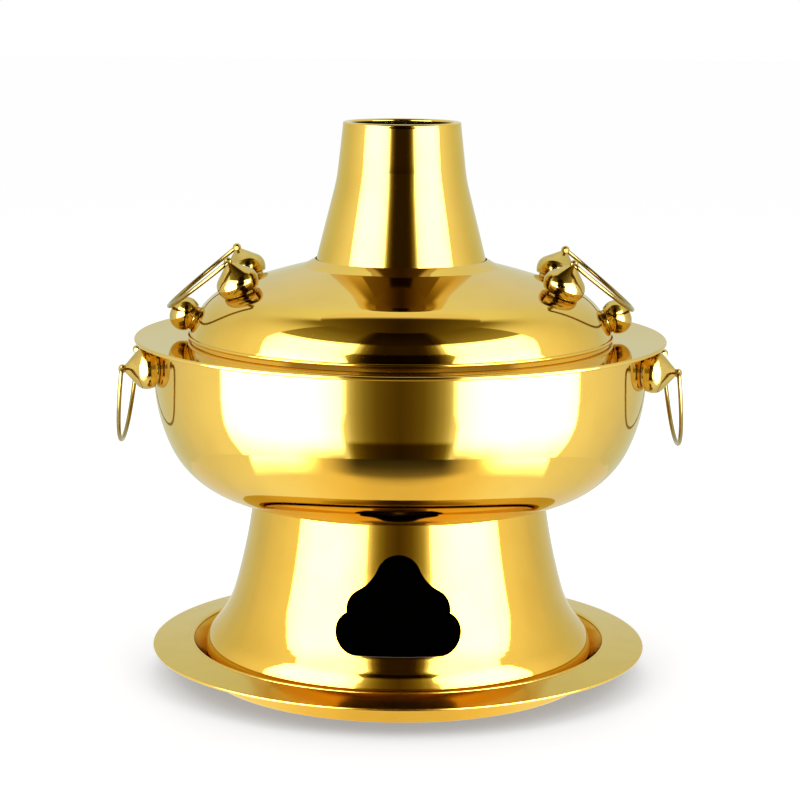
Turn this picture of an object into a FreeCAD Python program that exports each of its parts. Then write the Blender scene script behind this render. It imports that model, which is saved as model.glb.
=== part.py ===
import FreeCAD, Part
import math
import os
import re

import Sketcher

# Charcoal hot pot with a central chimney: a tray for the ash, a flared stove base, a ring-shaped
# soup bowl round a fire flue, an annular lid, a lift-out chimney and four swinging ring handles.
# Millimetres, +Z up, origin at the centre of the tray's underside, draught vent on -Y, handles on
# -X and +X.

Vector = FreeCAD.Vector
Rotation = FreeCAD.Rotation
Placement = FreeCAD.Placement
UP = Vector(0, 0, 1)

# Driving dimensions: millimetres and degrees. Heights are above the table.
SIZES = {
    "sheet": 1.2,
    # ash tray
    "tray_radius": 150.3,
    "tray_edge_height": 18.0,
    "tray_well_radius": 126.5,
    "tray_well_height": 20.6,
    "tray_floor_radius": 116.5,
    "tray_corner": 3.0,
    "tray_hem": 0.9,
    # stove base
    "flare_waist": 86.4,
    "flare_waist_height": 148.5,
    "flare_bend": 348.0,
    "low_flare_bend": 60.0,
    "foot_radius": 118.2,
    "foot_height": 14.8,
    "foot_bend": 20.7,
    "foot_heel_radius": 117.4,
    "foot_roll": 3.0,
    # draught vent: a cloud shape of round lobes, the top one blended into the sides
    "vent_floor": 35.7,
    "vent_low_lobe": 12.2,
    "vent_low_offset": 24.1,
    "vent_side_lobe": 12.6,
    "vent_side_offset": 17.5,
    "vent_side_height": 60.3,
    "vent_top_lobe": 13.0,
    "vent_top_height": 79.0,
    "vent_blend": 25.0,
    # soup bowl and its flat rim
    "bowl_radius": 148.3,
    "belly_bend": 100.0,
    "belly_turn": 25.0,
    "belly_low_bend": 55.0,
    "belly_height": 184.0,
    "mouth_radius": 119.6,
    "mouth_lip": 6.4,
    "rim_radius": 160.0,
    "rim_seat_radius": 130.0,
    "rim_seat_height": 205.4,
    "rim_edge_height": 206.8,
    "rim_hem": 2.4,
    # fire flue in the middle of the bowl
    "firebox_radius": 64.8,
    "firebox_height": 150.0,
    "flue_flange": 74.0,
    "flue_top_radius": 50.0,
    "flue_taper_height": 226.0,
    "flue_height": 240.0,
    "collar_wall": 2.2,
    "collar_height": 13.0,
    "grate_radius": 62.0,
    "grate_thickness": 4.0,
    "grate_height": 117.0,
    "grate_slot_width": 6.0,
    "grate_slot_length": 34.0,
    "grate_slot_count": 12,
    "lug_reach": 8.0,
    "lug_width": 12.0,
    "lug_thickness": 5.0,
    # lift-out chimney
    "chimney_base_radius": 50.9,
    "chimney_waist_height": 301.0,
    "chimney_waist_radius": 38.8,
    "waist_blend": 6.0,
    "chimney_skirt_height": 253.0,
    "chimney_top_radius": 35.3,
    "chimney_top_height": 332.6,
    "chimney_mouth_radius": 31.0,
    "top_ring_height": 2.4,
    "spigot_depth": 22.0,
    "spigot_overlap": 10.0,
    # lid
    "lid_hole_radius": 51.6,
    "lid_neck_height": 253.2,
    "lid_neck_radius": 59.0,
    "lid_crown_height": 249.0,
    "lid_crown_bend": 440.0,
    "lid_shoulder_centre": 90.0,
    "lid_shoulder_bend": 38.0,
    "lid_shoulder_height": 200.0,
    "lid_shoulder_angle": 19.8,
    "lid_bead": 1.2,
    "lid_bead_height": 207.5,
    "locating_radius": 118.8,
    "locating_depth": 6.4,
    # ball studs, their collars and screws, measured along each stud from the wall
    "stud_length": 19.8,
    "stud_eye": 2.6,
    "stud_ball_radius": 12.6,
    "stud_ball_height": 5.8,
    "stud_ball_bend": 9.5,
    "stud_crown_bend": 7.5,
    "stud_cone_angle": 50.0,
    "collar_radius": 9.4,
    "collar_thickness": 0.8,
    "collar_round": 0.5,
    "screw_radius": 1.95,
    "screw_hole": 2.1,
    "screw_length": 11.0,
    "screw_head_radius": 4.2,
    "screw_head_height": 2.4,
    "washer_radius": 5.4,
    "washer_thickness": 1.2,
    "stud_span": 38.5,
    "lid_stud_tilt": 24.0,
    "lid_pivot_reach": 101.2,
    "lid_pivot_height": 254.8,
    "bowl_pivot_reach": 163.6,
    "bowl_pivot_height": 190.9,
    # plain rest studs that hold the lid's rings up off the rim
    "rest_tilt": 25.0,
    "rest_ball_radius": 10.3,
    "rest_ball_height": 6.3,
    "rest_ball_bend": 8.5,
    "rest_collar_radius": 7.4,
    "rest_collar_thickness": 0.8,
    "rest_screw_length": 9.0,
    # ring handles bent from round wire
    "wire_radius": 1.3,
    "pivot_clearance": 0.06,
    "ring_half_width": 45.0,
    "ring_reach": 49.2,
    "ring_bend": 3.0,
    "ring_end": 34.3,
    "lid_ring_slope": 39.1,
    "bowl_ring_lean": 5.6,
}

doc = FreeCAD.newDocument("chimney_hot_pot")
sizes = doc.addObject("Spreadsheet::Sheet", "Sizes")
for row, (alias, number) in enumerate(SIZES.items(), start=1):
    sizes.set(f"A{row}", alias.replace("_", " "))
    sizes.set(f"B{row}", str(number))
    sizes.setAlias(f"B{row}", alias)
doc.recompute()

nodes = {}


def bound(formula):
    """The formula with every size in it written as a cell of the sheet."""
    def cell(word):
        return "Sizes." + word.group() if word.group() in SIZES else word.group()
    return re.sub(r"[a-z_]+", cell, str(formula))


def value(formula):
    """The formula's present value in millimetres or degrees."""
    return float(sizes.evalExpression(bound(formula)))


def make(kind, name, **formulas):
    """A document object with its properties bound to the sheet."""
    item = doc.addObject(kind, name)
    for prop, formula in formulas.items():
        item.setExpression(prop, bound(formula))
    return item


def origin_plane(body, role):
    return next(plane for plane in body.Origin.OriginFeatures if plane.Role == role)


def new_sketch(body, name, role):
    sketch = body.newObject("Sketcher::SketchObject", name)
    sketch.AttachmentSupport = (origin_plane(body, role), [""])
    sketch.MapMode = "FlatFace"
    return sketch


def bind(sketch, kind, *terms, formula):
    """Add one constraint with the formula's value and tie it to the sheet."""
    number = sketch.addConstraint(Sketcher.Constraint(kind, *terms, value(formula)))
    sketch.setExpression(f"Constraints[{number}]", bound(formula))


def pin_point(sketch, edge, end, across, along):
    """Hold one end of an edge at its two distances from the sketch's origin."""
    for kind, formula, axis in (("DistanceX", across, -2), ("DistanceY", along, -1)):
        if value(formula) == 0:
            sketch.addConstraint(Sketcher.Constraint("PointOnObject", edge, end, axis))
        else:
            bind(sketch, kind, -1, 1, edge, end, formula=formula)


def add_edge(sketch, start, finish, bend=None, turn=0):
    """Line or minor arc between two points: its number and which of its ends comes first."""
    start, finish = Vector(*start, 0), Vector(*finish, 0)
    if bend is None:
        return sketch.addGeometry(Part.LineSegment(start, finish), False), 1, 2
    chord = finish - start
    left = Vector(-chord.y, chord.x, 0).normalize()
    offset = math.sqrt(max(bend ** 2 - (chord.Length / 2) ** 2, 0))
    centre = (start + finish) / 2 + left * (turn * offset)
    first, last = (start, finish) if turn > 0 else (finish, start)
    angles = [math.atan2(point.y - centre.y, point.x - centre.x) for point in (first, last)]
    if angles[1] < angles[0]:
        angles[1] += 2 * math.pi
    arc = Part.ArcOfCircle(Part.Circle(centre, UP, bend), *angles)
    return (sketch.addGeometry(arc, False),) + ((1, 2) if turn > 0 else (2, 1))


def draw_outline(sketch, corners, closed=True):
    """Draw corners (across, along) joined by lines.

    A corner with two more items (bend, turn) starts an arc of that radius that turns left (1)
    or right (-1).
    """
    places = [(value(corner[0]), value(corner[1])) for corner in corners]
    count = len(corners) if closed else len(corners) - 1
    edges = []
    for number in range(count):
        arc = corners[number][2:]
        follows = places[(number + 1) % len(places)]
        if arc:
            edge = add_edge(sketch, places[number], follows, value(arc[0]), arc[1])
            bind(sketch, "Radius", edge[0], formula=arc[0])
        else:
            edge = add_edge(sketch, places[number], follows)
        edges.append(edge)
    for here, after in zip(edges, edges[1:] + (edges[:1] if closed else [])):
        sketch.addConstraint(Sketcher.Constraint("Coincident", here[0], here[2], after[0], after[1]))
    for edge, corner in zip(edges, corners):
        pin_point(sketch, edge[0], edge[1], *corner[:2])
    if not closed:
        pin_point(sketch, edges[-1][0], edges[-1][2], *corners[-1][:2])


def turned(name, corners, placement=None):
    """A body spun about Z from a closed outline of (radius, height) corners."""
    body = doc.addObject("PartDesign::Body", name)
    sketch = new_sketch(body, name + "_outline", "XZ_Plane")
    draw_outline(sketch, corners)
    spin = body.newObject("PartDesign::Revolution", name + "_spin")
    spin.Profile = (sketch, [""])
    spin.ReferenceAxis = (sketch, ["V_Axis"])
    spin.Angle = 360
    if placement:
        body.Placement = placement
    return body


def cylinder(name, radius, length, base, axis):
    """A cylinder that starts at base and runs along axis."""
    item = make("Part::Cylinder", name, Radius=radius, Height=length)
    item.Placement = Placement(base, Rotation(UP, axis))
    return item


def cut(name, base, tool):
    item = doc.addObject("Part::Cut", name)
    item.Base = base
    item.Tool = tool
    return item


def common(name, base, tool):
    item = doc.addObject("Part::Common", name)
    item.Base = base
    item.Tool = tool
    return item


def fuse(name, items):
    item = doc.addObject("Part::MultiFuse", name)
    item.Shapes = items
    return item


def group(name, items):
    item = doc.addObject("Part::Compound", name)
    item.Links = items
    return item


def node(item):
    """Enter an object as a finished sub-part under its own label."""
    nodes[item.Label] = item
    return item


# ---- Ash tray: a spun dish with a wide sloping brim and a small bead where the well begins.
well_top = "tray_well_height"
wall_foot = "tray_floor_radius + tray_corner"
node(turned("ash_tray", [
    (0, 0),
    ("tray_floor_radius", 0, "tray_corner", 1),
    (wall_foot, "tray_corner"),
    ("tray_well_radius", well_top + " - 1.6 * sheet"),
    ("tray_radius - 2 * tray_hem", "tray_edge_height - 2 * tray_hem"),
    ("tray_radius - tray_hem", "tray_edge_height - 2 * tray_hem", "tray_hem", 1),
    ("tray_radius", "tray_edge_height - tray_hem", "tray_hem", 1),
    ("tray_radius - tray_hem", "tray_edge_height"),
    ("tray_well_radius + 2 * sheet", well_top + " - sheet / 4"),
    ("tray_well_radius + sheet", well_top + " - sheet / 4", "sheet", 1),
    ("tray_well_radius", well_top + " + sheet / 4", "sheet", 1),
    ("tray_well_radius - sheet", well_top + " - sheet"),
    (wall_foot + " - sheet", "tray_corner + sheet / 2", "tray_corner", -1),
    ("tray_floor_radius - sheet", "sheet"),
    (0, "sheet"),
]))

# ---- Soup bowl: one spun ring-shaped shell, open in the middle, whose round belly tightens towards
# its flat bottom.
rim_slope = "(rim_edge_height - rim_seat_height) / (rim_radius - rim_seat_radius)"
belly_tightening = "(belly_bend - belly_low_bend)"
belly_floor = f"bowl_radius - belly_bend + {belly_tightening} * cos(belly_turn * 1deg)"
belly_bottom = f"belly_height - belly_low_bend - {belly_tightening} * sin(belly_turn * 1deg)"


def belly_joint(bend):
    """Where the belly's upper arc, drawn with that bend, hands over to its tighter lower arc."""
    return (f"bowl_radius - belly_bend + ({bend}) * cos(belly_turn * 1deg)",
            f"belly_height - ({bend}) * sin(belly_turn * 1deg)")


def rim_under(radius):
    """Height of the rim's underside at a radius outside its flat seat."""
    return f"rim_seat_height - sheet + ({radius} - rim_seat_radius) * {rim_slope}"


bowl_shell = turned("bowl_shell", [
    ("firebox_radius", belly_bottom),
    (belly_floor, belly_bottom, "belly_low_bend", 1),
    belly_joint("belly_bend") + ("belly_bend", 1),
    ("bowl_radius", "belly_height"),
    ("bowl_radius", rim_under("bowl_radius")),
    ("bowl_radius - sheet", rim_under("(bowl_radius - sheet)")),
    ("bowl_radius - sheet", "belly_height", "belly_bend - sheet", -1),
    belly_joint("belly_bend - sheet") + ("belly_low_bend - sheet", -1),
    (belly_floor, belly_bottom + " + sheet"),
    ("firebox_radius", belly_bottom + " + sheet"),
])

# ---- Bowl rim: a flat ring welded on the bowl, with a down-turned mouth and a hemmed edge.
hem = "rim_hem / 2"
node(turned("bowl_rim", [
    ("mouth_radius", "rim_seat_height"),
    ("mouth_radius", "rim_seat_height - mouth_lip"),
    ("mouth_radius + sheet", "rim_seat_height - mouth_lip"),
    ("mouth_radius + sheet", "rim_seat_height - sheet"),
    ("rim_seat_radius", "rim_seat_height - sheet"),
    ("rim_radius - 2 * rim_hem", rim_under("(rim_radius - 2 * rim_hem)")),
    ("rim_radius - " + hem, "rim_edge_height - rim_hem", hem, 1),
    ("rim_radius", "rim_edge_height - " + hem, hem, 1),
    ("rim_radius - " + hem, "rim_edge_height"),
    ("rim_seat_radius", "rim_seat_height"),
]))

# ---- Stove base: a spun skirt that meets the bowl's bottom, flares faster near its rolled foot
# and is pierced in front by a cloud-shaped draught vent: one outline of round lobes.
def crossing(first, second, side):
    """Where two circles (across, height, radius) cross, on one side of the line between them."""
    across, up = f"({second[0]} - {first[0]})", f"({second[1]} - {first[1]})"
    gap = f"sqrt({across} ^ 2 + {up} ^ 2)"
    along = f"((({first[2]}) ^ 2 - ({second[2]}) ^ 2 + {gap} ^ 2) / (2 * {gap}))"
    aside = f"({side} * sqrt(({first[2]}) ^ 2 - {along} ^ 2))"
    return (f"({first[0]} + ({along} * {across} - {aside} * {up}) / {gap})",
            f"({first[1]} + ({along} * {up} + {aside} * {across}) / {gap})")


def toward(start, goal, distance, whole):
    """The point at a distance from start towards a goal that is a whole length away."""
    return tuple(f"({start[i]} + ({goal[i]} - {start[i]}) * ({distance}) / ({whole}))" for i in (0, 1))


heel_inner = "foot_heel_radius - sheet"
flare_centre = ("(flare_waist + flare_bend)", "flare_waist_height")
foot_centre = ("(foot_radius - foot_bend)", "foot_height")
low_centre = crossing(flare_centre + ("flare_bend - low_flare_bend",),
                      foot_centre + ("low_flare_bend + foot_bend",), -1)


def skirt_top(bend):
    """Where the flare, drawn with that bend, meets the bowl's flat bottom."""
    rise = f"(flare_waist_height - ({belly_bottom}))"
    return f"{flare_centre[0]} - sqrt(({bend}) ^ 2 - {rise} ^ 2)", belly_bottom


def flare_joint(bend):
    """Where the long flare, drawn with that bend, hands over to the tighter one below it."""
    return toward(flare_centre, low_centre, bend, "flare_bend - low_flare_bend")


def foot_joint(bend):
    """Where the lower flare turns over into the foot, drawn with that bend."""
    return toward(foot_centre, low_centre, bend, "low_flare_bend + foot_bend")


base_skirt = turned("base_skirt", [
    skirt_top("flare_bend + sheet") + ("flare_bend + sheet", 1),
    flare_joint("flare_bend + sheet") + ("low_flare_bend + sheet", 1),
    foot_joint("foot_bend - sheet") + ("foot_bend - sheet", -1),
    ("foot_radius - sheet", "foot_height"),
    (heel_inner, "sheet + foot_roll", "foot_roll - sheet", -1),
    ("foot_heel_radius - foot_roll", "2 * sheet"),
    ("foot_heel_radius - foot_roll", "sheet", "foot_roll", 1),
    ("foot_heel_radius", "sheet + foot_roll"),
    ("foot_radius", "foot_height", "foot_bend", 1),
    foot_joint("foot_bend") + ("low_flare_bend", -1),
    flare_joint("flare_bend") + ("flare_bend", -1),
    skirt_top("flare_bend"),
])


def touch(lobe, blend_centre):
    """Where a blend of that centre touches a lobe (across, height, radius)."""
    return toward(lobe, blend_centre, lobe[2], lobe[2] + " + vent_blend")


low_lobe = ("vent_low_offset", "(vent_floor + vent_low_lobe)", "vent_low_lobe")
side_lobe = ("vent_side_offset", "vent_side_height", "vent_side_lobe")
top_lobe = ("0", "vent_top_height", "vent_top_lobe")
blend_centre = crossing(top_lobe[:2] + ("vent_top_lobe + vent_blend",),
                        side_lobe[:2] + ("vent_side_lobe + vent_blend",), 1)
notch = crossing(side_lobe, low_lobe, 1)
vent_right = [
    ("vent_low_offset", "vent_floor", "vent_low_lobe", 1),
    notch + ("vent_side_lobe", 1),
    touch(side_lobe, blend_centre) + ("vent_blend", -1),
    touch(top_lobe, blend_centre) + ("vent_top_lobe", 1),
]
mirrored = [(f"-({corner[0]})", corner[1]) for corner in reversed(vent_right)]
bends = [("vent_blend", -1), ("vent_side_lobe", 1), ("vent_low_lobe", 1), ()]
vent_left = [corner + bend for corner, bend in zip(mirrored, bends)]
vent_cutter = doc.addObject("PartDesign::Body", "vent_cutter")
vent_outline = new_sketch(vent_cutter, "vent_outline", "XZ_Plane")
draw_outline(vent_outline, vent_right + vent_left)
vent_pad = vent_cutter.newObject("PartDesign::Pad", "vent_pad")
vent_pad.Profile = (vent_outline, [""])
vent_pad.setExpression("Length", bound("tray_radius"))
node(cut("stove_base", base_skirt, vent_cutter))

# ---- Fire flue: the firebox and its tapering tube, flanged on to the bowl's floor, with a
# thick collar round its open top.
node(turned("fire_flue", [
    ("firebox_radius", belly_bottom + " + sheet"),
    ("flue_flange", belly_bottom + " + sheet"),
    ("flue_flange", belly_bottom + " + 2 * sheet"),
    ("firebox_radius + sheet", belly_bottom + " + 2 * sheet"),
    ("firebox_radius + sheet", "firebox_height"),
    ("flue_top_radius + sheet", "flue_taper_height"),
    ("flue_top_radius + sheet", "flue_height"),
    ("flue_top_radius", "flue_height"),
    ("flue_top_radius", "flue_taper_height"),
    ("firebox_radius", "firebox_height"),
]))
collar_inner = "flue_top_radius + sheet + pivot_clearance"
node(turned("flue_collar", [
    (collar_inner, "flue_height - collar_height"),
    (collar_inner + " + collar_wall", "flue_height - collar_height"),
    (collar_inner + " + collar_wall", "flue_height - sheet", "sheet", 1),
    (collar_inner + " + collar_wall - sheet", "flue_height"),
    (collar_inner, "flue_height"),
]))

# ---- Charcoal grate: a cast disc with radial slots, loose on three lugs in the firebox.
grate = doc.addObject("PartDesign::Body", "charcoal_grate")
disc_sketch = new_sketch(grate, "grate_disc", "XY_Plane")
disc_sketch.AttachmentOffset.Base = Vector(0, 0, value("grate_height"))
disc_sketch.setExpression("AttachmentOffset.Base.z", bound("grate_height"))
disc_sketch.addGeometry(Part.Circle(Vector(), UP, value("grate_radius")), False)
disc_sketch.addConstraint(Sketcher.Constraint("Coincident", 0, 3, -1, 1))
bind(disc_sketch, "Radius", 0, formula="grate_radius")
disc = grate.newObject("PartDesign::Pad", "grate_pad")
disc.Profile = (disc_sketch, [""])
disc.setExpression("Length", bound("grate_thickness"))
slot_sketch = new_sketch(grate, "grate_slot", "XY_Plane")
slot_sketch.setExpression("AttachmentOffset.Base.z", bound("grate_height + grate_thickness"))
slot_end = "grate_radius - grate_thickness"
draw_outline(slot_sketch, [
    (slot_end + " - grate_slot_length", "-grate_slot_width / 2"),
    (slot_end, "-grate_slot_width / 2"),
    (slot_end, "grate_slot_width / 2"),
    (slot_end + " - grate_slot_length", "grate_slot_width / 2"),
])
doc.recompute()
slot = grate.newObject("PartDesign::Pocket", "grate_slot_cut")
slot.Profile = (slot_sketch, [""])
slot.Type = "ThroughAll"
doc.recompute()
slots = grate.newObject("PartDesign::PolarPattern", "grate_slots")
slots.Originals = [slot]
slots.Axis = (disc_sketch, ["N_Axis"])
slots.Angle = 360
slots.setExpression("Occurrences", bound("grate_slot_count"))
grate.Tip = slots
node(grate)

firebox_bore = cylinder("firebox_bore", "firebox_radius", "grate_height", Vector(), UP)
LUG_TURNS = 30, 150, 270
lug_blocks = []
for number, turn in enumerate(LUG_TURNS):
    block = make("Part::Box", f"lug_block_{number + 1}", Length="firebox_radius", Width="lug_width",
                 Height="lug_thickness")
    inner_face = value("firebox_radius - lug_reach")
    spin = Rotation(UP, turn)
    corner = Vector(inner_face, -value("lug_width / 2"), value("grate_height - lug_thickness"))
    block.Placement = Placement(spin.multVec(corner), spin)
    lug_blocks.append(common(f"lug_{number + 1}", block, firebox_bore))
node(group("grate_lugs", lug_blocks))

# ---- Chimney: a spun cone that flares at the waist, a rounded top ring and a spigot inside its
# skirt that plugs into the flue.
base_slope = "(chimney_base_radius - chimney_waist_radius) / (chimney_waist_height - chimney_skirt_height)"
top_slope = "(chimney_waist_radius - chimney_top_radius) / (chimney_top_height - chimney_waist_height)"


def cone_line(drop, slope):
    """Outer corner at a drop below the waist, on the straight run of that slope."""
    return f"chimney_waist_radius + ({drop}) * {slope}", f"chimney_waist_height - ({drop})"


def inside(corner):
    return corner[0] + " - sheet", corner[1]


below, above = cone_line("waist_blend", base_slope), cone_line("-waist_blend", top_slope)
waist_turn = math.atan(value(base_slope)) - math.atan(value(top_slope))
waist_bend = 2 * value("waist_blend") / waist_turn
node(turned("chimney_cone", [
    ("chimney_base_radius", "flue_height"),
    ("chimney_base_radius", "chimney_skirt_height"),
    below + (waist_bend, -1),
    above,
    ("chimney_top_radius", "chimney_top_height"),
    ("chimney_top_radius - sheet", "chimney_top_height"),
    inside(above) + (waist_bend, 1),
    inside(below),
    ("chimney_base_radius - sheet", "chimney_skirt_height"),
    ("chimney_base_radius - sheet", "flue_height"),
]))
ring_top = "chimney_top_height + top_ring_height"
node(turned("chimney_top_ring", [
    ("chimney_mouth_radius", "chimney_top_height"),
    ("chimney_top_radius", "chimney_top_height"),
    ("chimney_top_radius", ring_top + " - sheet", "sheet", 1),
    ("chimney_top_radius - sheet", ring_top),
    ("chimney_mouth_radius + sheet", ring_top, "sheet", 1),
    ("chimney_mouth_radius", ring_top + " - sheet"),
]))
spigot_outer = "chimney_base_radius - sheet - pivot_clearance"
node(turned("chimney_spigot", [
    (spigot_outer + " - sheet", "flue_height - spigot_depth"),
    (spigot_outer, "flue_height - spigot_depth"),
    (spigot_outer, "flue_height + spigot_overlap"),
    (spigot_outer + " - sheet", "flue_height + spigot_overlap"),
]))

# ---- Lid: a spun dome with a raised neck round the chimney, a crown, a tight shoulder and a
# rolled bead above its edge; a locating ring inside it drops into the bowl's mouth.
centre = "lid_shoulder_centre"


def shoulder_radius(height, bend):
    return f"{centre} + sqrt(({bend}) ^ 2 - ({height} - lid_shoulder_height) ^ 2)"


def shoulder_height(radius, bend):
    return f"lid_shoulder_height + sqrt(({bend}) ^ 2 - ({radius} - {centre}) ^ 2)"


def crown_corner(depth):
    """Where crown and shoulder meet, at a depth below the lid's outer face."""
    bend = f"(lid_shoulder_bend - {depth})"
    return (f"{centre} + {bend} * sin(lid_shoulder_angle * 1deg)",
            f"lid_shoulder_height + {bend} * cos(lid_shoulder_angle * 1deg)")


bead_top = "lid_bead_height + lid_bead"
wall_outer = shoulder_radius(bead_top, "lid_shoulder_bend")
wall_inner = wall_outer + " - sheet"
inner_bend = "lid_shoulder_bend - sheet"
lid_outside = [
    (wall_outer, "rim_seat_height"),
    (wall_outer, "lid_bead_height - lid_bead", "lid_bead", 1),
    (wall_outer + " + lid_bead", "lid_bead_height", "lid_bead", 1),
    (wall_outer, bead_top, "lid_shoulder_bend", 1),
    crown_corner(0) + ("lid_crown_bend", 1),
    ("lid_neck_radius", "lid_crown_height"),
    ("lid_hole_radius", "lid_neck_height"),
]
lid_inside = [
    ("lid_hole_radius", "lid_neck_height - sheet"),
    ("lid_neck_radius - sheet / 4", "lid_crown_height - sheet", "lid_crown_bend - sheet", -1),
    crown_corner("sheet") + (inner_bend, -1),
    (wall_inner, shoulder_height("(" + wall_inner + ")", inner_bend)),
    (wall_inner, "rim_seat_height"),
]
dome = turned("dome_sheet", lid_outside + lid_inside)
dome_outer_volume = turned("dome_outer_volume",
                           [(0, "rim_seat_height")] + lid_outside + [(0, "lid_neck_height")])
dome_inner_volume = turned("dome_inner_volume",
                           [(0, "rim_seat_height"), (0, "lid_neck_height - sheet")] + lid_inside)
ring_face = wall_inner + " - pivot_clearance"
node(turned("lid_locating_ring", [
    ("locating_radius - sheet", "rim_seat_height - locating_depth"),
    ("locating_radius", "rim_seat_height - locating_depth"),
    ("locating_radius", "rim_seat_height"),
    (ring_face, "rim_seat_height"),
    (ring_face, "rim_seat_height + sheet"),
    ("locating_radius - sheet", "rim_seat_height + sheet"),
]))
wall_foot = "bowl_pivot_height - 2 * collar_radius"
wall_height = f"rim_seat_height - ({wall_foot})"
wall_base = Vector(0, 0, value(wall_foot))
bowl_outer_volume = cylinder("bowl_outer_volume", "bowl_radius", wall_height, wall_base, UP)
bowl_inner_volume = cylinder("bowl_inner_volume", "bowl_radius - sheet", wall_height, wall_base, UP)


# ---- Ball studs: each is a turned brass ball on a thin collar shaped to the wall, held by a screw
# and washer from inside the sheet. A stud that carries a ring handle ends in an eye drilled along Y.
def stud_ball(name, place):
    """An acorn-shaped ball with a tapped hole below and a cone that ends in an eye."""
    low = "collar_thickness"
    equator = "stud_ball_height"
    bend = "stud_ball_bend"
    middle = "(stud_ball_radius - stud_ball_bend)"
    crown = "stud_crown_bend"
    crown_middle = "(stud_ball_radius - stud_crown_bend)"
    neck = "(stud_eye * 0.84)"
    return turned(name, [
        (0, "screw_length + sheet"),
        ("screw_hole", "screw_length + sheet"),
        ("screw_hole", low),
        (f"{middle} + sqrt({bend} ^ 2 - ({equator} - {low}) ^ 2)", low, bend, 1),
        ("stud_ball_radius", equator, crown, 1),
        (f"{crown_middle} + {crown} * cos(stud_cone_angle * 1deg)",
         f"{equator} + {crown} * sin(stud_cone_angle * 1deg)"),
        (neck, f"stud_length - sqrt(stud_eye ^ 2 - {neck} ^ 2)", "stud_eye", 1),
        (0, "stud_length + stud_eye"),
    ], place)


def rest_ball(name, place):
    """The same ball, smaller and with a plain button top."""
    low = "rest_collar_thickness"
    equator = "rest_ball_height"
    bend = "rest_ball_bend"
    middle = "(rest_ball_radius - rest_ball_bend)"
    return turned(name, [
        (0, "rest_screw_length + sheet"),
        ("screw_hole", "rest_screw_length + sheet"),
        ("screw_hole", low),
        (f"{middle} + sqrt({bend} ^ 2 - ({equator} - {low}) ^ 2)", low, bend, 1),
        ("rest_ball_radius", equator, bend, 1),
        (middle, f"{equator} + {bend}"),
        (0, f"{equator} + {bend} + sheet / 4"),
    ], place)


def stud_collar(name, place, radius, thickness, wall_volume):
    """A thin ring whose underside is shaped to the wall, set back under the ball's edge."""
    blank = turned(name + "_blank", [
        ("screw_hole", "-2 * sheet"),
        (radius, "-2 * sheet"),
        (radius, f"{thickness} - collar_round", "collar_round", 1),
        (f"{radius} - collar_round", thickness),
        ("screw_hole", thickness),
    ], place)
    return cut(name, blank, wall_volume)


def stud_washer(name, place, inside_volume):
    """A washer dished to the inner face of the wall."""
    blank = turned(name + "_blank", [
        ("screw_hole", "-sheet - washer_thickness"),
        ("washer_radius", "-sheet - washer_thickness"),
        ("washer_radius", "sheet"),
        ("screw_hole", "sheet"),
    ], place)
    return common(name, blank, inside_volume)


def stud_screw(name, place, length):
    """A round-headed screw whose head bears on the washer."""
    seat = "-sheet - washer_thickness"
    return turned(name, [
        (0, f"{seat} - screw_head_height"),
        ("screw_head_radius - sheet", f"{seat} - screw_head_height", "sheet", 1),
        ("screw_head_radius", f"{seat} - screw_head_height + sheet"),
        ("screw_head_radius", seat),
        ("screw_radius", seat),
        ("screw_radius", length),
        (0, length),
    ], place)


def screw_bore(name, place):
    """The screw's hole, from one washer's reach inside the wall to as far outside it."""
    base = place.multVec(Vector(0, 0, -value("washer_radius")))
    return cylinder(name, "screw_hole", "2 * washer_radius", base, place.Rotation.multVec(UP))


SIDES = {"left": -1, "right": 1}
ENDS = {"front": -1, "back": 1}


def eye_stud_places(reach, height, tilt):
    """Eye position and placement of the four studs that carry a pair of ring handles."""
    places = {}
    for side, across in SIDES.items():
        for end, along in ENDS.items():
            eye = Vector(across * value(reach), along * value("stud_span"), value(height))
            heading = math.atan2(eye.y, eye.x)
            lean = math.radians(tilt)
            axis = Vector(math.sin(lean) * math.cos(heading), math.sin(lean) * math.sin(heading),
                          math.cos(lean))
            places[f"{side}_{end}"] = eye, Placement(eye - axis * value("stud_length"), Rotation(UP, axis))
    return places


def fit_studs(family, places, outer_volume, inner_volume):
    """Make the four eye studs of one family and return the holes their screws need."""
    collars, washers, screws, bores = [], [], [], []
    for name, (eye, place) in places.items():
        drill = cylinder(f"{family}_eye_{name}", "wire_radius + pivot_clearance", "6 * stud_eye",
                         eye - Vector(0, 3 * value("stud_eye"), 0), Vector(0, 1, 0))
        node(cut(f"{family}_stud_{name}", stud_ball(f"{family}_ball_{name}", place), drill))
        collars.append(stud_collar(f"{family}_collar_{name}", place, "collar_radius", "collar_thickness",
                                   outer_volume))
        washers.append(stud_washer(f"{family}_washer_{name}", place, inner_volume))
        screws.append(stud_screw(f"{family}_screw_{name}", place, "screw_length"))
        bores.append(screw_bore(f"{family}_bore_{name}", place))
    node(group(f"{family}_stud_collars", collars))
    node(group(f"{family}_stud_washers", washers))
    node(group(f"{family}_stud_screws", screws))
    return bores


lid_bores = fit_studs("lid", eye_stud_places("lid_pivot_reach", "lid_pivot_height", value("lid_stud_tilt")),
                      dome_outer_volume, dome_inner_volume)
bowl_bores = fit_studs("bowl", eye_stud_places("bowl_pivot_reach", "bowl_pivot_height", 90),
                       bowl_outer_volume, bowl_inner_volume)

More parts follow.
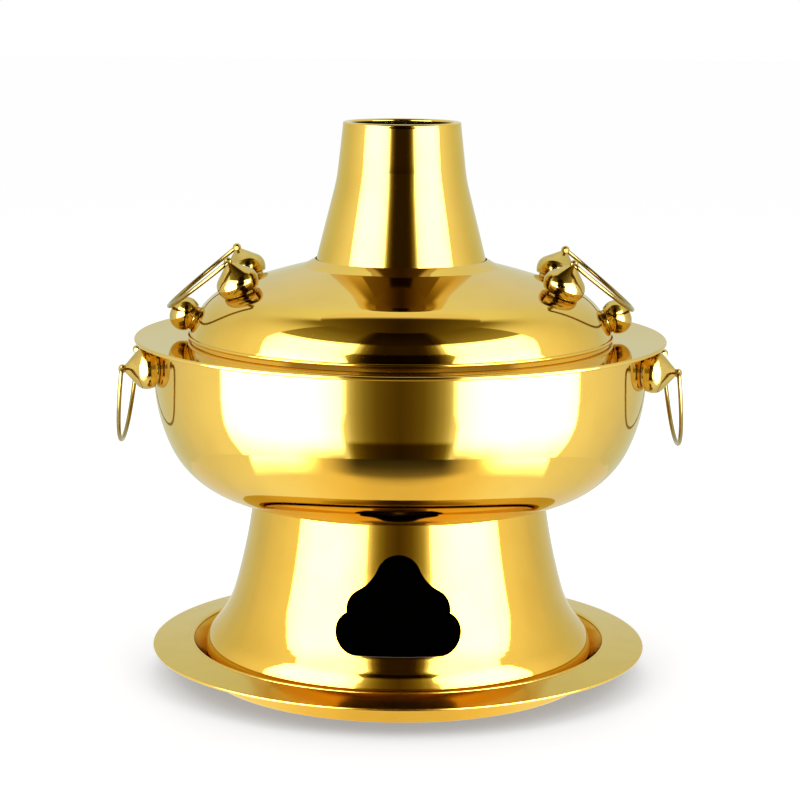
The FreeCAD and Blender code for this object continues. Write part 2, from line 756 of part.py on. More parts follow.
rest_collars, rest_washers, rest_screws = [], [], []
for side, across in SIDES.items():
    lean = math.radians(value("rest_tilt"))
    axis = Vector(across * math.cos(lean), 0, math.sin(lean))
    hub = Vector(across * value(centre), 0, value("lid_shoulder_height"))
    place = Placement(hub + axis * value("lid_shoulder_bend"), Rotation(UP, axis))
    node(rest_ball(f"lid_rest_{side}", place))
    rest_collars.append(stud_collar(f"rest_collar_{side}", place, "rest_collar_radius",
                                    "rest_collar_thickness", dome_outer_volume))
    rest_washers.append(stud_washer(f"rest_washer_{side}", place, dome_inner_volume))
    rest_screws.append(stud_screw(f"rest_screw_{side}", place, "rest_screw_length"))
    lid_bores.append(screw_bore(f"rest_bore_{side}", place))
node(group("rest_stud_collars", rest_collars))
node(group("rest_stud_washers", rest_washers))
node(group("rest_stud_screws", rest_screws))

node(cut("lid_dome", dome, fuse("lid_bores", lid_bores)))
node(cut("soup_bowl", bowl_shell, fuse("bowl_bores", bowl_bores)))


# ---- Ring handles: round wire bent to a half ring, its two ends turned in through the eyes.
def ring_handle(name, pivot, spin):
    body = doc.addObject("PartDesign::Body", name)
    path = new_sketch(body, name + "_path", "XY_Plane")
    leg = "ring_reach - ring_half_width"
    draw_outline(path, [
        (0, "-ring_end"),
        (0, "-ring_half_width + ring_bend", "ring_bend", 1),
        ("ring_bend", "-ring_half_width"),
        (leg, "-ring_half_width", "ring_half_width", 1),
        ("ring_reach", 0, "ring_half_width", 1),
        (leg, "ring_half_width"),
        ("ring_bend", "ring_half_width", "ring_bend", 1),
        (0, "ring_half_width - ring_bend"),
        (0, "ring_end"),
    ], closed=False)
    section = new_sketch(body, name + "_section", "XZ_Plane")
    section.setExpression("AttachmentOffset.Base.z", bound("ring_end"))
    section.addGeometry(Part.Circle(Vector(), UP, value("wire_radius")), False)
    section.addConstraint(Sketcher.Constraint("Coincident", 0, 3, -1, 1))
    bind(section, "Radius", 0, formula="wire_radius")
    doc.recompute()
    wire = body.newObject("PartDesign::AdditivePipe", name + "_wire")
    wire.Profile = (section, [""])
    wire.Spine = (path, [f"Edge{number + 1}" for number in range(8)])
    body.Placement = Placement(pivot, spin)
    return node(body)


for side, across in SIDES.items():
    face = Rotation(UP, 0 if across > 0 else 180)
    lid_pivot = Vector(across * value("lid_pivot_reach"), 0, value("lid_pivot_height"))
    bowl_pivot = Vector(across * value("bowl_pivot_reach"), 0, value("bowl_pivot_height"))
    droop = Rotation(Vector(0, 1, 0), value("lid_ring_slope"))
    ring_handle(f"lid_ring_{side}", lid_pivot, face * droop)
    hang = Rotation(Vector(0, 1, 0), 90 - value("bowl_ring_lean"))
    ring_handle(f"bowl_ring_{side}", bowl_pivot, face * hang)

# ---- Check every object, then write one file for each sub-part.
doc.recompute()
for item in doc.Objects:
    if "Invalid" in item.State or "Error" in item.State:
        raise RuntimeError(f"{item.Label} failed: {item.State}")
for name, item in nodes.items():
    if item.Shape.isNull() or not item.Shape.isValid() or not item.Shape.Solids:
        raise RuntimeError(f"{name} has no valid solid")

os.makedirs("parts", exist_ok=True)
for name, item in nodes.items():
    item.Shape.exportStep(f"parts/{name}.step")
    print(f"{name:24s} solids {len(item.Shape.Solids)}  volume {item.Shape.Volume:10.1f} mm3")
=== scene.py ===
import math

import bmesh
import bpy
from mathutils import Matrix, Vector


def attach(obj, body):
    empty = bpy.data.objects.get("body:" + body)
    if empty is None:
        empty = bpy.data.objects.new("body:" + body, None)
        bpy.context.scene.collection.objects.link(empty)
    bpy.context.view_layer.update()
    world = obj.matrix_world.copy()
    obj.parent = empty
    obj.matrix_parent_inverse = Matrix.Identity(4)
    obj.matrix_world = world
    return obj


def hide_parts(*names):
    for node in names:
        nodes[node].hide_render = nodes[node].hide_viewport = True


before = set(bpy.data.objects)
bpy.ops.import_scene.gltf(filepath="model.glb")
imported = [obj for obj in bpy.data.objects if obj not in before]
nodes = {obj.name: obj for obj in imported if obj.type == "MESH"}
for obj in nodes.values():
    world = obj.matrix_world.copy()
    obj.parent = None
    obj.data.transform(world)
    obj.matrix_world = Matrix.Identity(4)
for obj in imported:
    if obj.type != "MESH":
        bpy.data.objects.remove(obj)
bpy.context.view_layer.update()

# ---- Ash tray: one dish spun from brass sheet and polished all over, with a wide sloping brim
# that fingers can lift. It carries the whole pot and catches the ash that falls from the base.
TRAY_OUTLINE = ((0, 0), (116.5, 0, 3, 1), (119.5, 3), (126.5, 18.68), (148.5, 16.2), (149.4, 16.2, 0.9, 1),
                (150.3, 17.1, 0.9, 1), (149.4, 18), (128.9, 20.3), (127.7, 20.3, 1.2, 1),
                (126.5, 20.9, 1.2, 1), (125.3, 19.4), (118.3, 3.6, 3, -1), (115.3, 1.2), (0, 1.2))
# How finely an outline is drawn out, with lengths in millimetres as in the outline itself.
ARC_TURN = math.radians(9)
ARC_RUN = 1.6
HOLD = 0.12
MM_IN_METRE = 1000
SPIN_STEPS = 240
CREASE = math.radians(32)


def arc(start, end, radius, side):
    """Points of an arc after its start: side 1 turns left and -1 turns right."""
    across, up = end[0] - start[0], end[1] - start[1]
    chord = math.hypot(across, up)
    rise = side * math.sqrt(max(radius * radius - chord * chord / 4, 0)) / chord
    middle = ((start[0] + end[0]) / 2 - up * rise, (start[1] + end[1]) / 2 + across * rise)
    first = math.atan2(start[1] - middle[1], start[0] - middle[0])
    sweep = (math.atan2(end[1] - middle[1], end[0] - middle[0]) - first) * side % math.tau * side
    count = max(3, math.ceil(abs(sweep) / ARC_TURN), math.ceil(abs(sweep) * radius / ARC_RUN))
    return [(middle[0] + radius * math.cos(first + sweep * step / count),
             middle[1] + radius * math.sin(first + sweep * step / count)) for step in range(1, count)]


def drawn_out(corners):
    """An outline with its arcs drawn out: a corner may give the radius and side of the arc after it.

    A straight run gets a point close to each end, which keeps its shading flat in between.
    """
    points = []
    for corner, after in zip(corners, corners[1:] + corners[:1]):
        points.append(corner[:2])
        if len(corner) > 2:
            points.extend(arc(corner[:2], after[:2], *corner[2:]))
        elif math.dist(corner[:2], after[:2]) > 3 * HOLD:
            share = HOLD / math.dist(corner[:2], after[:2])
            for along in (share, 1 - share):
                points.append(tuple(a + (b - a) * along for a, b in zip(corner, after)))
    return points


def spin_up(name, body, node, corners, material):
    """Spin a closed outline (millimetres from the axis and up) round Z, in place of a CAD node."""
    made = bmesh.new()
    loops = []
    for radius, height in drawn_out(corners):
        count = SPIN_STEPS if radius else 1
        loop = []
        for step in range(count):
            turn = math.tau * (step + 0.5) / count
            loop.append(made.verts.new((radius * math.cos(turn) / MM_IN_METRE,
                                        radius * math.sin(turn) / MM_IN_METRE, height / MM_IN_METRE)))
        loops.append(loop)
    for lower, upper in zip(loops, loops[1:] + loops[:1]):
        for step in range(SPIN_STEPS):
            corner = [lower[step % len(lower)], lower[(step + 1) % len(lower)],
                      upper[(step + 1) % len(upper)], upper[step % len(upper)]]
            corner = [vert for index, vert in enumerate(corner) if vert not in corner[:index]]
            if len(corner) > 2:
                made.faces.new(corner)
    bmesh.ops.recalc_face_normals(made, faces=made.faces)
    mesh = bpy.data.meshes.new(name)
    made.to_mesh(mesh)
    made.free()
    mesh.shade_smooth()
    mesh.set_sharp_from_angle(angle=CREASE)
    mesh.materials.append(material)
    piece = bpy.data.objects.new(name, mesh)
    bpy.context.scene.collection.objects.link(piece)
    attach(piece, body)
    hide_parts(node)


class Wire:
    """A shader socket used in arithmetic: an expression on wires adds its Math nodes."""

    def __init__(self, tree, socket=None):
        self.tree = tree
        self.socket = socket

    def node(self, kind, settings=None, sockets=None, output=0):
        """Add a node of a kind: its settings first, then the values or links of its sockets."""
        made = self.tree.nodes.new(kind)
        for name, setting in (settings or {}).items():
            if name == "stops":
                while len(made.color_ramp.elements) < len(setting):
                    made.color_ramp.elements.new(1.0)
                for element, (place, colour) in zip(made.color_ramp.elements, setting):
                    element.position = place
                    element.color = (*colour, 1.0)
            else:
                setattr(made, name, setting)
        self.feed(made, sockets or {})
        return Wire(self.tree, made.outputs[output])

    def feed(self, made, sockets):
        """Link wires to a node's sockets and set plain numbers and colours on them."""
        for name, value in sockets.items():
            if isinstance(value, Wire):
                self.tree.links.new(value.socket, made.inputs[name])
            elif isinstance(value, tuple) and made.inputs[name].type == "RGBA":
                made.inputs[name].default_value = (*value, 1.0)
            else:
                made.inputs[name].default_value = value

    def maths(self, operation, *terms):
        return self.node("ShaderNodeMath", {"operation": operation}, dict(enumerate(terms)))

    def __add__(self, other):
        return self.maths("ADD", self, other)

    def __sub__(self, other):
        return self.maths("SUBTRACT", self, other)

    def __mul__(self, other):
        return self.maths("MULTIPLY", self, other)

    def __truediv__(self, other):
        return self.maths("DIVIDE", self, other)

    def __pow__(self, other):
        return self.maths("POWER", self, other)

    def __rsub__(self, other):
        return self.maths("SUBTRACT", other, self)

    __radd__ = __add__
    __rmul__ = __mul__

    def unsigned(self):
        """This wire without its sign."""
        return self.maths("ABSOLUTE", self)

    def step(self, low, high):
        """0 below low, 1 above high and smooth between them."""
        return self.node("ShaderNodeMapRange", {"interpolation_type": "SMOOTHSTEP"},
                         {"Value": self, "From Min": low, "From Max": high})

    def blend(self, first, second):
        """First colour where this wire is 0, second where it is 1."""
        return self.node("ShaderNodeMix", {"data_type": "RGBA"}, {0: self, 6: first, 7: second}, 2)

    def axis(self, letter):
        """One measure of this place."""
        return self.node("ShaderNodeSeparateXYZ", {}, {0: self}, letter)

    def noise(self, scale, detail):
        """Cloudy noise at this place, with about so many clouds to the metre."""
        return self.node("ShaderNodeTexNoise", {}, {"Vector": self, "Scale": scale, "Detail": detail})

    def bump(self):
        """The way the surface faces when it stands this high, in metres."""
        return self.node("ShaderNodeBump", {}, {"Strength": 1.0, "Distance": 1.0, "Height": self})


def new_finish(name):
    """A material, its shader and a wire that draws its nodes."""
    material = bpy.data.materials.new(name)
    material.use_nodes = True
    return material, material.node_tree.nodes["Principled BSDF"], Wire(material.node_tree)


BRASS = (0.86, 0.575, 0.105)
SMEARED = (0.97, 0.95, 0.90)
# The brass's lathe circles, hand-made waves and smears: clouds to the metre, and depths in metres.
SPIN_FINE = 700.0
SPIN_DEPTH = 0.0000012
WAVE_WIDE = 16.0
WAVE_DEPTH = 0.00003
SMEAR_WIDE = 45.0
SMEAR_TINT = (0.35, 0.75)
SMEAR_DULL = (0.4, 0.8)
GRAIN = 0.015
EDGE_BLUR = 0.004
UNDER_BLUR = 0.008
UNDER_DULL = 0.12


def spun_brass(name, spin=1.0, polish=0.035, hub=None, inner=None, grooves=(), brass=BRASS, under=None):
    """Polished brass with the faint circles of the spinning lathe round Z.

    Spin deepens the circles and polish is the roughness. The side that faces the hub, a point in
    the middle of the piece, takes the inner finish (colour, metallic, roughness). Grooves are
    (height, width, depth) of deeper tool marks. Below the height under, the polish is duller.
    """
    material, shader, draw = new_finish(name)
    spot = draw.node("ShaderNodeTexCoord", output="Object")
    across = spot.axis("X")
    along = spot.axis("Y")
    height = spot.axis("Z")
    radius = (across * across + along * along) ** 0.5
    ring = draw.node("ShaderNodeCombineXYZ", {}, {"X": radius, "Z": height})
    circles = ring.noise(SPIN_FINE, detail=3.0)
    wave = spot.noise(WAVE_WIDE, detail=1.0)
    smear = spot.noise(SMEAR_WIDE, detail=4.0)
    relief = circles * (spin * SPIN_DEPTH) + wave * WAVE_DEPTH
    for place, width, depth in grooves:
        away = (height - place) / width
        relief = relief - draw.maths("EXPONENT", away * away * -1.0) * depth
    deep = tuple(share * fade for share, fade in zip(brass, SMEARED))
    colour = smear.step(*SMEAR_TINT).blend(brass, deep)
    metal = 1.0
    rough = smear.step(*SMEAR_DULL) * GRAIN + circles * GRAIN + polish
    if under:
        rough = rough + (1 - height.step(under - UNDER_BLUR, under + UNDER_BLUR)) * UNDER_DULL
    if inner:
        inner_colour, inner_metal, inner_rough = inner
        normal = draw.node("ShaderNodeTexCoord", output="Normal")
        arm = draw.node("ShaderNodeVectorMath", {"operation": "SUBTRACT"}, {0: spot, 1: hub})
        facing = draw.node("ShaderNodeVectorMath", {"operation": "DOT_PRODUCT"},
                           {0: normal, 1: arm}, "Value")
        outside = facing.step(-EDGE_BLUR, EDGE_BLUR)
        colour = outside.blend(inner_colour, colour)
        rough = outside * rough + (1 - outside) * inner_rough
        if inner_metal < 1:
            metal = outside * (1 - inner_metal) + inner_metal
    draw.feed(shader, {"Base Color": colour, "Metallic": metal, "Roughness": rough, "Normal": relief.bump()})
    return material


spin_up("spun_tray", "tray", "ash_tray", TRAY_OUTLINE, spun_brass("tray_brass", spin=1.3, polish=0.15))

# ---- Stove base: a skirt spun from brass sheet and flared to a rolled foot, polished outside and
# near-black inside. The draught vent is cut through its front with a cloud-shaped punch, and
# the spinning tool has left three deeper circles above the foot.
BASE_HUB = (0, 0, 0.04)
BASE_BRASS = (0.86, 0.53, 0.075)
# Near-black, matte and not metal on the side that faces the hub.
INSIDE_BLACK = ((0.008, 0.007, 0.006), 0.0, 0.85)
FOOT_MARKS = ((0.0345, 0.0009, 0.000014), (0.0395, 0.0006, 0.000006), (0.027, 0.0008, 0.00001))


def dress(material, *names):
    """Give CAD nodes a finish."""
    for name in names:
        for slot in nodes[name].material_slots:
            slot.material = material


dress(spun_brass("base_brass", hub=BASE_HUB, inner=INSIDE_BLACK, grooves=FOOT_MARKS, brass=BASE_BRASS), "stove_base")

# ---- Soup bowl and its rim: a deep ring-shaped shell of spun brass with a flat rim plate welded
# on top. Outside it is polished like a mirror, duller underneath where the wheel hardly reaches,
# and inside it keeps the satin of the lathe.
BOWL_HUB = (0, 0, 0.16)
BOWL_UNDER = 0.118
SATIN = ((0.74, 0.50, 0.13), 1.0, 0.30)
RIM_OUTLINE = ((119.6, 205.4), (119.6, 199), (120.8, 199), (120.8, 204.2), (130, 204.2), (155.2, 205.376),
               (158.8, 204.4, 1.2, 1), (160, 205.6, 1.2, 1), (158.8, 206.8), (130, 205.4))
dress(spun_brass("bowl_brass", hub=BOWL_HUB, inner=SATIN, under=BOWL_UNDER), "soup_bowl")
spin_up("spun_rim", "pot", "bowl_rim", RIM_OUTLINE, spun_brass("rim_brass", spin=0.8))

# ---- Fire flue, its collar and the grate's lugs: the firebox that stands in the soup, rolled and
# welded from brass sheet. Satin where the soup is, and dull brown-black where the fire has been.
FLUE_HUB = (0, 0, 0.18)
SCALE = ((0.045, 0.028, 0.014), 0.35, 0.62)
flue_brass = spun_brass("flue_brass", spin=2.5, polish=0.22, hub=FLUE_HUB, inner=SCALE)
dress(flue_brass, "fire_flue", "flue_collar", "grate_lugs")

# ---- Charcoal grate: a loose disc of cast iron with radial slots, rough from the sand mould and
# rusty at its edges. It lies on three lugs in the firebox.
IRON = (0.03, 0.028, 0.026)
IRON_METAL = 0.4
IRON_ROUGH = 0.6
RUST = (0.09, 0.04, 0.02)
RUST_WIDE = 60.0
RUST_EDGE = (0.5, 0.7)
RUST_ROUGHER = 0.2
SAND_FINE = 900.0
SAND_DEPTH = 0.0002


def cast_iron(name):
    """Dark iron with patches of rust, which are rougher."""
    material, shader, draw = new_finish(name)
    spot = draw.node("ShaderNodeTexCoord", output="Object")
    sand = spot.noise(SAND_FINE, detail=6.0)
    rust = spot.noise(RUST_WIDE, detail=5.0).step(*RUST_EDGE)
    draw.feed(shader, {"Base Color": rust.blend(IRON, RUST), "Metallic": IRON_METAL,
                       "Roughness": rust * RUST_ROUGHER + IRON_ROUGH, "Normal": (sand * SAND_DEPTH).bump()})
    return material


dress(cast_iron("grate_iron"), "charcoal_grate")

# ---- Lid: a spun dome with a raised neck round the chimney and a rolled bead above its edge. It
# lies loose on the rim, and the locating ring under it drops into the bowl's mouth.
LID_HUB = (0, 0, 0.14)
LID_BRASS = (0.86, 0.56, 0.09)
LID_OUTLINE = ((126.991, 205.4), (126.991, 206.3, 1.2, 1), (128.191, 207.5, 1.2, 1), (126.991, 208.7, 38, 1),
               (102.872, 235.753, 440, 1), (59, 249), (51.6, 253.2), (51.6, 252), (58.7, 247.8, 438.8, -1),
               (102.466, 234.624, 36.8, -1), (125.791, 208.558), (125.791, 205.4))
lid_brass = spun_brass("lid_brass", hub=LID_HUB, inner=SATIN, brass=LID_BRASS)
spin_up("spun_lid", "lid", "lid_dome", LID_OUTLINE, lid_brass)
dress(spun_brass("locating_ring_brass", spin=2.0, polish=0.2), "lid_locating_ring")

# ---- Chimney: a cone spun from one sheet with a slight waist and a rounded ring brazed round its
# mouth. Outside it is polished, inside it is brown and black from the smoke. The spigot inside
# its skirt plugs into the flue and has the flue's finish.
CHIMNEY_HUB = (0, 0, 0.29)
TOP_RING_OUTLINE = ((31, 332.6), (35.3, 332.6), (35.3, 333.8, 1.2, 1), (34.1, 335), (32.2, 335, 1.2, 1),
                    (31, 333.8))
dress(spun_brass("chimney_brass", hub=CHIMNEY_HUB, inner=SCALE), "chimney_cone")
dress(flue_brass, "chimney_spigot")
top_ring_brass = spun_brass("top_ring_brass", polish=0.08)
spin_up("spun_top_ring", "chimney", "chimney_top_ring", TOP_RING_OUTLINE, top_ring_brass)

# ---- Ball studs, collars and screws: solid balls turned from brass bar on round-edged collars,
# buffed bright, and held from inside the sheet by steel screws with dished washers. The balls'
# brass is a little darker than the pot's, and the collars' is darker still: painted shade.
# Painted shade: the balls' brass is darkened a little. The collars' brass is darkened more, for the shade in
# the gap between ball and collar.
BALL_SHADED_BRASS = (0.70, 0.49, 0.12)
COLLAR_SHADED_BRASS = (0.56, 0.38, 0.09)
STEEL = (0.62, 0.62, 0.60)
BUFF_WIDE = 90.0
TARNISH_WIDE = 260.0
TARNISH_TINT = (0.3, 0.8)
TARNISH_DULL = 0.05
TARNISHED = 0.85


def buffed_metal(name, colour, polish, depth):
    """Metal buffed by hand, with waves of a depth in metres and specks of tarnish."""
    material, shader, draw = new_finish(name)
    spot = draw.node("ShaderNodeTexCoord", output="Object")
    wave = spot.noise(BUFF_WIDE, detail=2.0)
    tarnish = spot.noise(TARNISH_WIDE, detail=3.0)
    dull = tuple(share * TARNISHED for share in colour)
    draw.feed(shader, {"Base Color": tarnish.step(*TARNISH_TINT).blend(colour, dull), "Metallic": 1.0,
                       "Roughness": tarnish * TARNISH_DULL + polish, "Normal": (wave * depth).bump()})
    return material


# Painted shade in the darkened ball and collar colours.
ball_shaded_brass = buffed_metal("ball_shaded_brass", BALL_SHADED_BRASS, polish=0.07, depth=0.00002)
collar_shaded_brass = buffed_metal("collar_shaded_brass", COLLAR_SHADED_BRASS, polish=0.12, depth=0.00002)
screw_steel = buffed_metal("screw_steel", STEEL, polish=0.25, depth=0.00001)
for name in nodes:
    if name.endswith(("_screws", "_washers")):
        dress(screw_steel, name)
    elif name.endswith("_collars"):
        dress(collar_shaded_brass, name)
    elif "_stud" in name or "_rest_" in name:
        dress(ball_shaded_brass, name)

# ---- Ring handles: half rings bent from drawn brass wire, their ends turned in through the eyes
# of two studs. The bowl's rings hang, and the lid's lie on their rest studs. Their brass is
# darkened to about half: painted shade.
# Painted shade: the wire's brass is about half as bright as the pot's.
WIRE_SHADED_BRASS = (0.42, 0.31, 0.09)
dress(buffed_metal("wire_shaded_brass", WIRE_SHADED_BRASS, polish=0.13, depth=0.00001),
      "lid_ring_left", "lid_ring_right", "bowl_ring_left", "bowl_ring_right")

# ---- Paper tent: a round wall and a top of glowing paper that only the metal's reflections see.
# Two bright windows stand on either side of a dark gap for the camera, with dim paper above them,
# and the paper behind the pot is whiter.
TENT_RADIUS = 0.33
TENT_TOP = 0.93
TENT_SIDES = 96
NO_CAP = 20.0
BOUNCE_LOSS = 0.9
SHADE_STOPS = ((0.0, (1.0, 0.52, 0.03)), (0.12, (1.0, 0.72, 0.13)), (0.25, (1.0, 0.86, 0.32)),
               (0.45, (1.0, 0.93, 0.55)), (0.80, (1.0, 1.0, 0.92)), (1.0, (1.0, 1.0, 1.0)))
REAR_LOW = (0.92, 1.0, 0.84)
REAR_HIGH = (1.0, 1.08, 1.05)
WALL_AGAIN = 0.95
DIP_DEPTH = 0.6
SIDE_LIFT = 0.2
SIDE_SHADE = 0.2
TOP_WHITE = (1.0, 0.95, 0.93)
TOP_LEVEL = 0.95
TOP_AGAIN = 0.6
TOP_CURVE = 1.5
TOP_SLOPE = 0.9
TOP_DARKEST = 0.03
TOP_BEHIND = (0.07, 0.17)
# Turns from the front, in degrees, over which one level passes into the next.
OPENING_BLUR = (-1.3, 0.9)
ENDING_BLUR = (-0.8, 0.8)
DIP_ENDS = (46.0, 56.0)
SHADE_ENDS = (94.0, 114.0)
LIFT_STARTS = (95.0, 120.0)
REAR_STARTS = (96.0, 122.0)
# Heights in metres over which one level passes into the next.
TABLE_FADE = (0.0, 0.06)
BOWL_FROM = (0.055, 0.075)
LID_FROM = (0.20, 0.28)
CHIMNEY_FROM = (0.335, 0.36)
WINDOW_TOP = (0.440, 0.480)
LIFT_FROM = (0.25, 0.85)
SHADE_FROM = (0.46, 0.90)
REAR_FROM = (0.28, 0.42)
DIP_FROM = (0.17, 0.20)
DIP_TO = (0.26, 0.29)


def mixed(share, first, second):
    """First level where share is 0, second where it is 1."""
    return share * (second - first) + first


def graph(place, *stops):
    """A level that runs straight from stop to stop, each a place and its level."""
    last = stops[-1][0]
    most = max(level for stop, level in stops)
    greys = [(stop / last, (level / most,) * 3) for stop, level in stops]
    return place.node("ShaderNodeValToRGB", {"stops": greys}, {0: place / last}) * most


def turn_of(across, along):
    """How far round from the front a place is, in degrees, on either side."""
    return across.maths("ARCTAN2", across, along * -1.0).unsigned() * (180 / math.pi)


def tinted(level):
    """Shade is browner than plain light."""
    return level.node("ShaderNodeValToRGB", {"stops": SHADE_STOPS}, {0: level})


def once(draw, level, again):
    """A level that a first reflection shows in full, and later ones only up to the level again."""
    twice = draw.node("ShaderNodeLightPath", output="Glossy Depth").step(1.0, 2.0)
    bounced = draw.node("ShaderNodeLightPath", output="Diffuse Depth").step(0.0, 1.0)
    return level.maths("MINIMUM", level, mixed(twice, NO_CAP, again)) * (1 - bounced * BOUNCE_LOSS)


def gap_level(turn, height):
    """The dark gap, from the height that the table mirrors up to the one that the chimney does."""
    table = graph(turn, (0, 0.02), (8, 0.035), (12, 0.06), (15, 0.12), (17, 0.2), (18.5, 0.45), (20, 1.05),
                  (34, 1.3))
    bowl = graph(turn, (0, 0.075), (4, 0.10), (8, 0.14), (12, 0.25), (15, 0.42), (17, 0.65), (19, 1.1))
    lid = graph(turn, (0, 0.003), (12, 0.005), (15, 0.015), (17, 0.035), (20, 0.18), (22, 0.35), (26, 0.9))
    chimney = graph(turn, (0, 0.025), (8, 0.025), (12, 0.04), (15, 0.12), (18, 0.3), (20, 1.0))
    gap = mixed(height.step(*BOWL_FROM), table, bowl)
    gap = mixed(height.step(*LID_FROM), gap, lid)
    return mixed(height.step(*CHIMNEY_FROM), gap, chimney)


def window_level(turn, height):
    """A bright window, weaker towards the gap and near the table."""
    window = graph(turn, (0, 4.5), (19, 4.5), (21, 7.5), (30, 11.0), (40, 12.5), (58, 12.5), (66, 10.5),
                   (72, 8.5))
    window = window * graph(height, (0, 0.40), (0.05, 0.66), (0.09, 0.90), (0.20, 0.90), (0.28, 0.75),
                            (0.33, 0.60), (1.0, 0.60))
    low = graph(turn, (0, 0.22), (26, 0.25), (34, 0.5), (44, 1), (90, 1))
    return window * mixed(height.step(*TABLE_FADE), low, 1)


def over_level(turn, height):
    """The dim paper above the windows."""
    by_turn = graph(turn, (0, 0.010), (18, 0.015), (22, 0.05), (27, 0.17), (40, 0.23), (60, 0.28),
                    (180, 0.40))
    by_height = graph(height, (0, 1.5), (0.5, 1.4), (0.6, 1.0), (0.75, 0.65), (1.0, 0.45))
    return by_turn * by_height


def side_level(turn, height):
    """The plain paper beside and behind the pot, shaded high up at the sides."""
    side = graph(turn, (0, 1.09), (73, 1.09), (79, 1.05), (86, 0.96), (96, 0.86), (106, 0.77), (118, 0.73),
                 (180, 0.72))
    side = side + height.step(*LIFT_FROM) * turn.step(*LIFT_STARTS) * SIDE_LIFT
    shaded = height.step(*SHADE_FROM) * (1 - turn.step(*SHADE_ENDS))
    return mixed(shaded, side, SIDE_SHADE)


def wall_shine(across, along, height):
    """Colour, level and second level of the tent's wall at a place."""
    turn = turn_of(across, along)
    start = graph(height, (0, 22), (0.05, 20.8), (0.12, 20.6), (0.145, 19.3), (0.22, 19.3), (0.29, 24),
                  (0.325, 26), (0.35, 22), (0.45, 22), (1.0, 22))
    end = graph(height, (0, 69.5), (0.05, 71), (0.09, 71.2), (0.14, 70.3), (0.22, 70.8), (0.25, 69.5),
                (0.27, 66.5), (0.31, 68.5), (0.36, 71.5), (0.39, 73), (0.46, 73), (1.0, 73))
    opened = (turn - start).step(*OPENING_BLUR)
    past = (turn - end).step(*ENDING_BLUR)
    low = mixed(opened, gap_level(turn, height), window_level(turn, height))
    front = mixed(height.step(*WINDOW_TOP), low, over_level(turn, height))
    level = mixed(past, front, side_level(turn, height))
    rear = height.step(*REAR_FROM).blend(REAR_LOW, REAR_HIGH)
    colour = turn.step(*REAR_STARTS).blend(tinted(level), rear)
    dip = height.step(*DIP_FROM) * (1 - height.step(*DIP_TO)) * (1 - turn.step(*DIP_ENDS))
    return colour, level, WALL_AGAIN - dip * DIP_DEPTH


def top_shine(across, along, height):
    """Colour, level and second level of the tent's top: shaded in front, and white behind."""
    behind = along.step(*TOP_BEHIND)
    shade = across.unsigned() ** TOP_CURVE * TOP_SLOPE + TOP_DARKEST
    level = mixed(behind, shade, TOP_LEVEL)
    return behind.blend(tinted(level), TOP_WHITE), level, TOP_AGAIN


def paper(name, shine):
    """Glowing paper: shine works out its colour, its level and its second level from its place."""
    material = bpy.data.materials.new(name)
    material.use_nodes = True
    tree = material.node_tree
    tree.nodes.clear()
    draw = Wire(tree)
    spot = draw.node("ShaderNodeTexCoord", output="Object")
    colour, level, again = shine(spot.axis("X"), spot.axis("Y"), spot.axis("Z"))
    glow = draw.node("ShaderNodeEmission", {}, {"Color": colour, "Strength": once(draw, level, again)})
    out = tree.nodes.new("ShaderNodeOutputMaterial")
    tree.links.new(glow.socket, out.inputs["Surface"])
    material.cycles.emission_sampling = "NONE"
    return material


def stage_sheet(name, points, faces, material):
    """A thin sheet of the studio."""
    mesh = bpy.data.meshes.new(name)
    mesh.from_pydata([Vector(point) for point in points], [], faces)
    sheet = bpy.data.objects.new(name, mesh)
    mesh.materials.append(material)
    bpy.context.scene.collection.objects.link(sheet)
    return sheet


turns = [math.tau * step / TENT_SIDES for step in range(TENT_SIDES)]
ring = [(TENT_RADIUS * math.sin(turn), -TENT_RADIUS * math.cos(turn)) for turn in turns]
wall_points = [(x, y, z) for z in (0.0, TENT_TOP) for x, y in ring]
wall_faces = [(i, (i + 1) % TENT_SIDES, TENT_SIDES + (i + 1) % TENT_SIDES, TENT_SIDES + i)
              for i in range(TENT_SIDES)]
top_points = [(x, y, TENT_TOP) for x, y in ring]
tent = [
    stage_sheet("tent_wall", wall_points, wall_faces, paper("wall_paper", wall_shine)),
    stage_sheet("tent_top", top_points, [tuple(range(TENT_SIDES))], paper("top_paper", top_shine)),
]
for sheet in tent:
    sheet.visible_camera = False
    sheet.visible_diffuse = False
    sheet.visible_shadow = False
    sheet.visible_transmission = False

# ---- Floor: white paper under the pot. In the metal's reflections it is a round table with a dark
# lip in front, and it glares before the two windows.
FLOOR_HALF = 12.0
FLOOR_WHITE = (0.86, 0.86, 0.86)
FLOOR_ROUGH = 0.9
FLOOR_AGAIN = 1.1
TOP_UP = 0.30
WARM_FRONT = (1.0, 0.82, 0.48)
WARM_ENDS = (18.0, 55.0)
LIP_BEND = 0.000035
LIP_ENDS = (16.0, 33.0)
GLARE_STARTS = (30.0, 44.0)
GLARE_ENDS = (64.0, 67.0)
floor_finish, floor_shader, draw = new_finish("floor_paper")
draw.feed(floor_shader, {"Base Color": FLOOR_WHITE, "Roughness": FLOOR_ROUGH, "Specular IOR Level": 0.0})
spot = draw.node("ShaderNodeTexCoord", output="Object")
across = spot.axis("X")
along = spot.axis("Y")
turn = turn_of(across, along)
reach = (across * across + along * along) ** 0.5
level = graph(turn, (0, 0.87), (12, 0.92), (20, 1.03), (40, 1.12), (60, 1.08), (80, 0.94), (100, 0.81),
              (180, 0.74))
lip = graph(reach - turn * turn * LIP_BEND, (0, 1), (0.225, 1), (0.235, 0.8), (0.245, 0.42), (0.255, 0.22),
            (0.27, 0.14), (0.29, 0.07), (0.33, 0.03), (1.0, 0.03))
level = level * mixed(turn.step(*LIP_ENDS), lip, 1)
glare = graph(reach, (0, 0), (0.25, 0), (0.27, 1.2), (0.29, 2.6), (0.315, 5.0), (1.0, 5.0))
